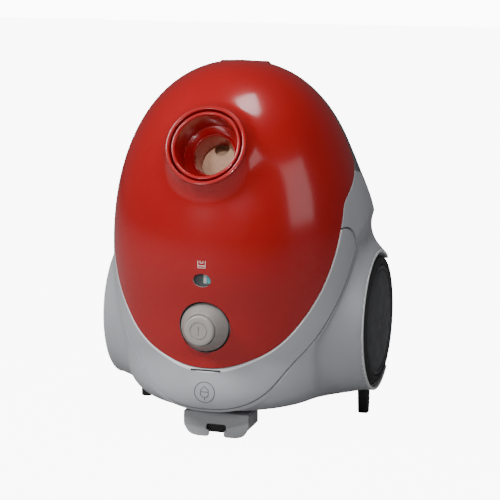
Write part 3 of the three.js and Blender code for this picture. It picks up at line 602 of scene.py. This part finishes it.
def band(outer_depth, inner_depth, grow, rise, columns, rows, edge_radius=0.0, name="cutter"):
    """The pedal's U-shaped piece of the egg, between two depths under its surface.

    In radians, grow widens it at its arms' ends and on the body's side, and rise on the lid's side.
    """
    u, v = np.broadcast_arrays(np.linspace(0, 1, columns)[None, :], np.linspace(0, 1, rows)[:, None])
    across = v.copy()
    for _ in range(6):
        arm = np.radians(105 - 11 * across**2) + grow
        around = -math.pi / 2 + (u * 2 - 1) * arm
        lid_side = edge_angle(around, lambda z: edge_y(z, PEDAL_EDGE_Z))
        body_side = edge_angle(around, pedal_outer_y)
        forward = lid_side + rise + (body_side - grow - lid_side - rise) * v
        across = np.clip((lid_side - forward) / (lid_side - body_side), 0, 1)
    d = direction(around, forward)
    reach = egg_reach(d)
    outer = at_reach(d, reach - outer_depth)
    if edge_radius:
        cells = np.minimum(np.arange(columns), columns - 1 - np.arange(columns))[None, :]
        length = np.linalg.norm(np.diff(outer, axis=0), axis=-1).sum(axis=0)[None, :]
        from_lid = v * length
        from_body = (1 - v) * length
        step = np.linalg.norm(outer[:, 1] - outer[:, 0], axis=-1).mean()
        distance = np.minimum(np.minimum(from_lid, from_body), cells * step)
        t = np.clip(distance / edge_radius, 0, 1)
        drop = edge_radius * (1 - np.sqrt(np.maximum(0, 1 - (1 - t) ** 2)))
        outer = at_reach(d, reach - outer_depth - drop)
    inner = at_reach(d, reach - inner_depth)
    verts = np.concatenate([outer.reshape(-1, 3), inner.reshape(-1, 3)])
    count = rows * columns
    faces = grid_faces(rows, columns, False)
    faces += [tuple(reversed(f)) for f in grid_faces(rows, columns, False, count)]
    rim = (
        list(range(columns))
        + [r * columns + columns - 1 for r in range(1, rows)]
        + [(rows - 1) * columns + i for i in range(columns - 2, -1, -1)]
        + [r * columns for r in range(rows - 2, 0, -1)]
    )
    for a, b in zip(rim, rim[1:] + rim[:1]):
        faces.append((a, b, b + count, a + count))
    return obj_from(name, verts, faces, PEDAL, None)


def star(reach, columns, rows, name, inset=0.0):
    """The closed surface that lies at reach(direction) from the egg's centre, flared out at the wheels."""
    around = np.linspace(0, 2 * math.pi, columns, endpoint=False)[None, :]
    forward = (math.pi / 2 - np.arange(1, rows) / rows * math.pi)[:, None]
    d = direction(around, forward)
    front_pole, back_pole = np.array([[0.0, -1.0, 0.0]]), np.array([[0.0, 1.0, 0.0]])
    verts = np.concatenate(
        [
            at_reach(front_pole, reach(front_pole)),
            at_reach(d, reach(d)).reshape(-1, 3),
            at_reach(back_pole, reach(back_pole)),
        ]
    )
    verts = flared(verts, inset)
    faces = grid_faces(rows - 1, columns, True, 1)
    last = len(verts) - 1
    for j in range(columns):
        k = (j + 1) % columns
        faces.append((0, 1 + k, 1 + j))
        faces.append((last, last - columns + j, last - columns + k))
    return obj_from(name, verts, faces, GREY, None)


def front_cutter(lowest, offset):
    """Everything in front of the lid's edge line, moved back by offset."""
    zs = np.linspace(lowest, 300, 90)
    outline = [(-220, lowest - (220 + EDGE_Y) / 4)]
    outline += [(float(edge_y(z, lowest)) + offset, z) for z in zs]
    outline += [(EDGE_TOP_Y + offset, 430), (-220, 430)]
    count = len(outline)
    verts = [(x, y, z) for x in (-200, 200) for y, z in outline]
    faces = [tuple(range(count)), tuple(range(2 * count - 1, count - 1, -1))]
    for i in range(count):
        j = (i + 1) % count
        faces.append((i, i + count, j + count, j))
    return obj_from("cutter", verts, faces, GREY, None)


PEDAL_COLUMNS, PEDAL_ROWS, HIGHLIGHT_ROWS = 420, 60, 3
pedal = band(0, WALL, 0, 0.012, PEDAL_COLUMNS, PEDAL_ROWS, 1.3, "pedal_band")
# The rows along the lid's edge take the lighter grey: a painted highlight on the pedal's shoulder.
pedal.data.materials.append(PAINTED_HIGHLIGHT_GREY)
for face in pedal.data.polygons[: (PEDAL_COLUMNS - 1) * HIGHLIGHT_ROWS]:
    face.material_index = 1
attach(pedal, "pedal")
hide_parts("rewind_pedal")

tub = star(tub_reach, 256, 144, "body_shell")
hollow = star(lambda d: tub_reach(d) - WALL, 128, 72, "cutter", WALL)
# The pan behind the pedal. It is added whole, and then the pedal's room is cut out of it.
pan = band(0.6, WALL * 2 + PEDAL_ROOM, 0.026, 0.16, 160, 16)
pan_cut = band(-14, WALL + PEDAL_ROOM, 0.009, 0.2, 160, 16)
boolean(tub, hollow)
boolean(tub, pan, "UNION")
wheel_cutters = []
for side in (1, -1):
    well_floor = Vector((side * WELL_BACK_X, WHEEL_Y, WHEEL_Z))
    wheel_cutters.append(tube_cutter(X * side, well_floor, ARCH_RADIUS - 0.5, 60, 160))
cut_all(tub, [pan_cut, front_cutter(LID_EDGE_Z - 1.8, 0.4), *wheel_cutters])
# The openings for the exhaust cover, the castor and the cord.
cut_all(
    tub,
    [
        box_mesh("cutter", (-65, 95, DOOR_Z - 42), (65, 125, DOOR_Z + 42)),
        tube_cutter(Y, Vector((0, 70, 322)), 9.2, 60, 48),
        tube_cutter(Y, Vector((62, 80, 60)), 9.3, 50, 48),
    ],
)
# Above a sloping plane the body's shell is painted a darker grey: painted shade behind the lid's edge.
tub.data.materials.clear()
tub.data.materials.append(GREY)
tub.data.materials.append(PAINTED_SHADE_GREY)
bm = bmesh.new()
bm.from_mesh(tub.data)
bmesh.ops.bisect_plane(
    bm,
    geom=bm.verts[:] + bm.edges[:] + bm.faces[:],
    plane_co=(0, 0, SHADED_TOP_Z * MM),
    plane_no=(0, SHADED_TOP_SLOPE, 1),
)
for face in bm.faces:
    centre = face.calc_center_median()
    face.material_index = int(centre.z + SHADED_TOP_SLOPE * centre.y > SHADED_TOP_Z * MM)
bm.to_mesh(tub.data)
bm.free()
tidy_normals(tub)
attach(tub, "chassis")
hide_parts("tub", "fender_left", "fender_right")

# ------------------------------------------------------------------ wheels and their arches

for side, word in ((1, "right"), (-1, "left")):
    axis = X * side
    at = Vector((0, WHEEL_Y, WHEEL_Z))
    # The arch ring takes the lighter grey: a painted highlight along the wheel arch's rim.
    arch = lathe(
        f"wheel_arch_{word}",
        rounded([(ARCH_BORE, 115), (ARCH_RADIUS, 115), (ARCH_RADIUS, 146), (ARCH_BORE, 146)], 1.6, 5),
        axis, at, PAINTED_HIGHLIGHT_GREY, None, 192,
    )
    cut_all(arch, [box_mesh("cutter", (-170, ARCH_CUT_Y, 20), (170, 200, 200))])
    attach(arch, "chassis")
    well = lathe(
        f"wheel_well_{word}",
        rounded(
            [(6, WELL_BACK_X), (ARCH_BORE, WELL_BACK_X), (ARCH_BORE, 119.6), (6, 119.6)],
            0.4,
        ),
        axis, at, DARK, None, 96,
    )
    cut_all(well, [box_mesh("cutter", (-170, ARCH_CUT_Y, 20), (170, 200, 200))])
    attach(well, "chassis")
    tyre = lathe(
        f"wheel_tyre_{word}",
        rounded(
            [
                (60.4, WHEEL_BACK_X), (WHEEL_RADIUS - 1, WHEEL_BACK_X), (WHEEL_RADIUS, 128),
                (WHEEL_RADIUS, 143), (WHEEL_RADIUS - 3.4, 147), (62.6, 147.4), (60.4, 146.4),
            ],
            2.2, 5,
        ),
        axis, at, TYRE, f"wheel_{word}", 192,
    )
    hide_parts(f"tyre_{word}")
    hub = lathe(
        f"wheel_disc_{word}",
        rounded(
            [
                (5, 125), (60, 125), (60, 146.6), (58.4, 147.6), (56.6, 146.4), (55.6, 145.2), (54, 146.6),
                (44, 147.8), (26, 148.9), (5, 149.4),
            ],
            0.7, 3,
        ),
        axis, at, HUB, f"wheel_{word}", 192,
    )
    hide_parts(f"wheel_hub_{word}")
    cap = lathe(
        f"wheel_cap_{word}",
        [(0, 148.6), (4.7, 148.6), (4.7, 149.1), (4.2, 149.4), (0, 149.55)],
        axis, at, HUB, f"wheel_{word}", 64,
    )

# ------------------------------------------------------------------ knob and button

knob = lathe(
    "knob_body",
    rounded(
        [
            (12, 0), (KNOB_RADIUS, 0), (KNOB_RADIUS, 1.6), (24.6, 3.4), (18.2, 15.6), (17.2, 17),
            (16.3, 17), (16.3, 6), (12, 6),
        ],
        0.8, 4,
    ),
    FRONT, KNOB_AT, KNOB, "knob", 128,
)
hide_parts("power_knob")
button = lathe(
    "button_cap",
    [(0, 9.6), (15.9, 9.6), (15.9, 19.6), (15.6, 20.8), (14.8, 21.6), (13.6, 21.9), (8, 22), (0, 22)],
    FRONT, KNOB_AT, BUTTON, None, 128,
)
mark_ring = lathe(
    "cutter", [(8.2, 21.4), (9.4, 21.4), (9.4, 26), (8.2, 26)], FRONT, KNOB_AT, BUTTON, None, 96
)
cut_all(button, [mark_ring, box_mesh("cutter", (-0.6, -135, KNOB_Z - 4.5), (0.6, -128.4, KNOB_Z + 4.5))])
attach(button, "button")
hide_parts("power_button")

# ------------------------------------------------------------------ bag-full indicator

for name, left, right, shade in (
    ("indicator_white", -1.4, 2.2, WHITE_INK),
    ("indicator_teal", 2.3, 6.6, TEAL),
):
    flag = box_mesh(name, (left, -108.4, 173.4), (right, -99.8, 183.6), shade, "indicator", 0.8)
# The teal half, made last, stands for the CAD's flag.
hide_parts("indicator_flag")
box_mesh("indicator_back", (-12, -99.2, 169.5), (12, -97.6, 187.5), BLACK, "lid", 0.5)

# ------------------------------------------------------------------ dust bag


def crumpled(azimuth, height):
    """How far the paper is pushed in, from creases that run down the bag's side and fade out at its poles."""
    pleats = np.abs(np.sin(azimuth * 4 + 0.8 * np.sin(height * 5))) ** 0.6
    cross = np.abs(np.sin(height * 6.5 + 1.3 * np.sin(azimuth * 3)))
    return (2.6 * (1 - pleats) + 1.4 * (1 - cross)) * np.cos(height) ** 0.5


def rounder(value, power):
    """Fills a sine or cosine out towards a square."""
    return np.sign(value) * np.abs(value) ** power


BAG_GRID = 90, 160
BAG_HALF_WIDTH, BAG_HALF_DEPTH, BAG_HALF_HEIGHT = 84, 64, 66
BAG_FULLNESS = 0.92
azimuth = np.linspace(0, 2 * math.pi, BAG_GRID[1], endpoint=False)[None, :]
height = np.linspace(-math.pi / 2, math.pi / 2, BAG_GRID[0])[:, None]
pinch = crumpled(azimuth, height)
girth = rounder(np.cos(height), BAG_FULLNESS)
bag_points = np.stack(
    np.broadcast_arrays(
        (BAG_HALF_WIDTH - pinch) * girth * rounder(np.cos(azimuth), BAG_FULLNESS),
        BAG_Y + (BAG_HALF_DEPTH - pinch) * girth * rounder(np.sin(azimuth), BAG_FULLNESS),
        BAG_Z + (BAG_HALF_HEIGHT - pinch) * np.sin(height),
    ),
    axis=-1,
)
bag = obj_from("paper_dust_bag", bag_points.reshape(-1, 3), grid_faces(*BAG_GRID, True), PAPER, None, 60)
weld(bag)
tidy_normals(bag, 60)
neck = lathe(
    "cutter", rounded([(BAG_MOUTH, -84), (28.6, -84), (28.6, -43), (BAG_MOUTH, -43)], 0.6),
    SOCKET_AXIS, SOCKET_AT, PAPER, None, 96,
)
cut_all(bag, [tube_cutter(SOCKET_AXIS, SOCKET_AT - SOCKET_AXIS * 90, BAG_MOUTH + 0.4, 60, 96)], 60)
boolean(bag, neck, "UNION")
tidy_normals(bag, 50)
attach(bag, "chassis")
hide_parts("dust_bag")

flap = lathe(
    "bag_mouth_flap",
    [(0, -67), (24.6, -67.4), (24.6, -66.4), (22, -66.2), (14, -65), (7, -64.2), (0, -64)],
    SOCKET_AXIS, SOCKET_AT, PAPER, None, 96,
)
notch_at = SOCKET_AT - SOCKET_AXIS * 80 + SOCKET_UP * 18 - X * 3
cut_all(flap, [tube_cutter(SOCKET_AXIS, notch_at, 8, 20, 64)])
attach(flap, "chassis")
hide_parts("bag_flap")

# ------------------------------------------------------------------ parking tab and feet


def plate(name, outline, front, back, bevel, material, body):
    """An outline in the front view, [x, z] pairs, as a plate with bevelled edges between two depths."""
    points = np.array(outline)
    before = points - np.roll(points, 1, axis=0)
    after = np.roll(points, -1, axis=0) - points
    along = before / np.linalg.norm(before, axis=1)[:, None] + after / np.linalg.norm(after, axis=1)[:, None]
    normal = np.stack([-along[:, 1], along[:, 0]], axis=1)
    normal /= np.linalg.norm(normal, axis=1)[:, None]
    area = 0.5 * np.sum(points[:, 0] * np.roll(points[:, 1], -1) - np.roll(points[:, 0], -1) * points[:, 1])
    inward = points + normal * bevel * (1 if area > 0 else -1)
    loops = [(inward, front), (points, front + bevel), (points, back - bevel), (inward, back)]
    verts = np.concatenate([np.stack([xz[:, 0], np.full(len(xz), y), xz[:, 1]], axis=1) for xz, y in loops])
    count = len(points)
    faces = grid_faces(4, count, True)
    faces.append(tuple(range(count)))
    faces.append(tuple(range(4 * count - 1, 3 * count - 1, -1)))
    return obj_from(name, verts, faces, material, body, 30)


TAB_HALF = 36
tab_outline = rounded(
    [
        (-TAB_HALF, 27), (-TAB_HALF, 12), (-TAB_HALF + 5, 3), (-TAB_HALF + 13, 0), (-8.3, 0), (-8.3, 7),
        (-11, 7), (-11, 14), (11, 14), (11, 7), (8.3, 7), (8.3, 0), (TAB_HALF - 13, 0), (TAB_HALF - 5, 3),
        (TAB_HALF, 12), (TAB_HALF, 27),
    ],
    4.0, 5,
)
tab = plate("tab_plate", tab_outline, -71, -67, 0.7, TAB, "chassis")
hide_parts("parking_tab")
for name, low, high in (
    ("tab_top", (-TAB_HALF, -70.6, 23.9), (TAB_HALF, -34.1, 26.9)),
    ("tab_wall_right", (TAB_HALF - 3.4, -70.4, 10), (TAB_HALF, -34.2, 26.6)),
    ("tab_wall_left", (-TAB_HALF, -70.4, 10), (-TAB_HALF + 3.4, -34.2, 26.6)),
    ("tab_back_wall", (-13, -66.6, 4), (13, -64.4, 24.6)),
):
    shade = BLACK if name == "tab_back_wall" else TAB
    box_mesh(name, low, high, shade, "chassis", 0.9)


FOOT_SIDES = 48
# Height and half width, from the sole up to the body.
FOOT_RINGS = ((0, 0.01), (0, 5.0), (0.3, 5.5), (1.0, 5.8), (29, 6.4), (30.6, 6.2), (31, 5.6), (31, 0.01))


def foot_loop(half):
    """A square with rounded corners, in plan."""
    turn = np.linspace(0, 2 * math.pi, FOOT_SIDES, endpoint=False)
    return half * rounder(np.cos(turn), 0.5), half * rounder(np.sin(turn), 0.5)


for side, word in ((1, "right"), (-1, "left")):
    rings = []
    for z, half in FOOT_RINGS:
        dx, dy = foot_loop(half)
        rings.append(np.stack([side * FOOT_X + dx, FOOT_Y + dy, np.full(FOOT_SIDES, z)], axis=1))
    foot = obj_from(
        f"foot_pad_{word}", np.concatenate(rings), grid_faces(len(FOOT_RINGS), FOOT_SIDES, True), BLACK, None
    )
    weld(foot, 3e-5)
    tidy_normals(foot, 40)
    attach(foot, "chassis")
    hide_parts(f"foot_{word}")

# ------------------------------------------------------------------ printed and embossed marks


def on_egg(x, z):
    """The front of the egg above a point of the front view."""
    near, far = -150.0, 0.0
    for _ in range(40):
        y = (near + far) / 2
        offset = np.array([x, y - CENTRE_Y, z - CENTRE_Z])
        length = np.linalg.norm(offset)
        if length > egg_reach(offset / length):
            near = y
        else:
            far = y
    return Vector((x, (near + far) / 2, z))


def mark(name, strokes, thickness, material, body):
    """Strokes of the front view, lists of [x, z] pairs, laid on the egg as fine raised lines."""
    curve = bpy.data.curves.new(name, "CURVE")
    curve.dimensions = "3D"
    curve.bevel_depth = thickness * MM
    curve.bevel_resolution = 2
    curve.use_fill_caps = True
    for stroke in strokes:
        spline = curve.splines.new("POLY")
        spline.points.add(len(stroke) - 1)
        for point, (x, z) in zip(spline.points, stroke):
            point.co = (*(on_egg(x, z) * MM), 1)
    curve.materials.append(material)
    obj = bpy.data.objects.new(name, curve)
    bpy.context.scene.collection.objects.link(obj)
    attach(obj, body)


def circle(x, z, radius, start=0, end=360, steps=48):
    """A circle or an arc as one stroke, between two angles in degrees."""
    turns = [math.radians(start + (end - start) * i / steps) for i in range(steps + 1)]
    return [(x + radius * math.cos(t), z + radius * math.sin(t)) for t in turns]


def raised(strokes, height):
    """The same strokes, moved up to a height on the object."""
    return [[(x, z + height) for x, z in stroke] for stroke in strokes]


plug_mark = [
    circle(0, 0, 10.8),
    circle(0, -0.6, 4.6, 205, 335, 16),
    [(-4.2, -2.6), (-4.2, 2.4), (0, 6.6), (4.2, 2.4), (4.2, -2.6)],
    [(-4.2, 0.6), (4.2, 0.6)],
    [(0, -5.2), (0, -8.4)],
]
mark("rewind_mark", raised(plug_mark, 59), 0.42, MARK, "pedal")
bag_mark = [
    [(-4, 4), (-4, -3.4), (4, -3.4), (4, 4)],
    [(-1.6, 4), (-1.6, 1.6), (1.6, 1.6), (1.6, 4)],
    [(-4, -1.2), (4, -1.2)],
]
mark("bag_mark", raised(bag_mark, 195), 0.36, WHITE_INK, "lid")

# ------------------------------------------------------------------ floor, lights, camera

FLOOR_SEEN, BACKDROP_LIGHT, BACKDROP_SEEN = 9.0, 0.09, 11.0

floor = bpy.data.objects.new("floor", bpy.data.meshes.new("floor"))
bpy.context.scene.collection.objects.link(floor)
floor.data.from_pydata([(-6, -6, 0), (6, -6, 0), (6, 6, 0), (-6, 6, 0)], [], [(0, 1, 2, 3)])
paper_floor = Graph("studio_floor")
paper_floor.link(
    paper_floor.ramp(paper_floor.noise(3.0), [(0.3, (0.28, 0.28, 0.28)), (0.7, (0.3, 0.3, 0.3))]),
    paper_floor.shader.inputs["Base Color"],
)
paper_floor.link(paper_floor.spread(paper_floor.noise(8.0), 0.6, 0.7), paper_floor.shader.inputs["Roughness"])


def seen_strength(tree, low, high):
    """A brightness that is high for what the camera sees directly and low for what the scene receives."""
    path = tree.nodes.new("ShaderNodeLightPath")
    choose = tree.nodes.new("ShaderNodeMapRange")
    choose.inputs["To Min"].default_value = low
    choose.inputs["To Max"].default_value = high
    tree.links.new(path.outputs["Is Camera Ray"], choose.inputs["Value"])
    return choose.outputs["Result"]


paper_floor.shader.inputs["Emission Color"].default_value = (1, 1, 1, 1)
paper_floor.link(
    seen_strength(paper_floor.tree, 0.0, FLOOR_SEEN), paper_floor.shader.inputs["Emission Strength"]
)
floor.data.materials.append(paper_floor.material)

world = bpy.data.worlds.new("studio")
bpy.context.scene.world = world
world.use_nodes = True
backdrop = world.node_tree.nodes["Background"]
backdrop.inputs["Color"].default_value = (1, 1, 1, 1)
backdrop_strength = seen_strength(world.node_tree, BACKDROP_LIGHT, BACKDROP_SEEN)
world.node_tree.links.new(backdrop_strength, backdrop.inputs["Strength"])


def area_light(name, at, target, size, power, gloss=1.0):
    """A square light, in watts, aimed at a target. Gloss scales its reflections."""
    light = bpy.data.lights.new(name, "AREA")
    light.energy = power
    light.shape = "RECTANGLE"
    light.size = size
    light.size_y = size
    light.specular_factor = gloss
    obj = bpy.data.objects.new(name, light)
    obj.location = at
    obj.rotation_euler = (Vector(target) - Vector(at)).to_track_quat("-Z", "Y").to_euler()
    bpy.context.scene.collection.objects.link(obj)


area_light("key", (-1.7, -1.3, 2.0), (0, 0, 0.25), 0.8, 84)
area_light("top", (0.25, -0.3, 2.2), (0, 0, 0.2), 0.7, 22)
area_light("front", (-0.52, -1.75, 0.72), (0, 0, 0.25), 0.22, 7)
area_light("fill", (2.4, -0.7, 0.9), (0, 0, 0.2), 1.2, 10, 0.3)
area_light("inlet_glow", (0.13, -0.62, 0.50), (0, -0.045, 0.286), 0.02, 1.6, 0.2)

CAMERA_AZIMUTH, CAMERA_ELEVATION = math.radians(16.87), math.radians(10.77)
CAMERA_DISTANCE, CAMERA_LENS, CAMERA_SHIFT = 2.052, 137, 0.0258
CAMERA_TARGET = Vector((0, 0.0065, 0.1876))
away = Vector(
    (
        math.sin(CAMERA_AZIMUTH) * math.cos(CAMERA_ELEVATION),
        -math.cos(CAMERA_AZIMUTH) * math.cos(CAMERA_ELEVATION),
        math.sin(CAMERA_ELEVATION),
    )
)
camera = bpy.data.objects.new("camera", bpy.data.cameras.new("camera"))
bpy.context.scene.collection.objects.link(camera)
camera.location = CAMERA_TARGET + away * CAMERA_DISTANCE
camera.rotation_euler = (-away).to_track_quat("-Z", "Y").to_euler()
camera.data.lens = CAMERA_LENS
camera.data.sensor_width = 36
camera.data.shift_x = CAMERA_SHIFT
bpy.context.scene.camera = camera
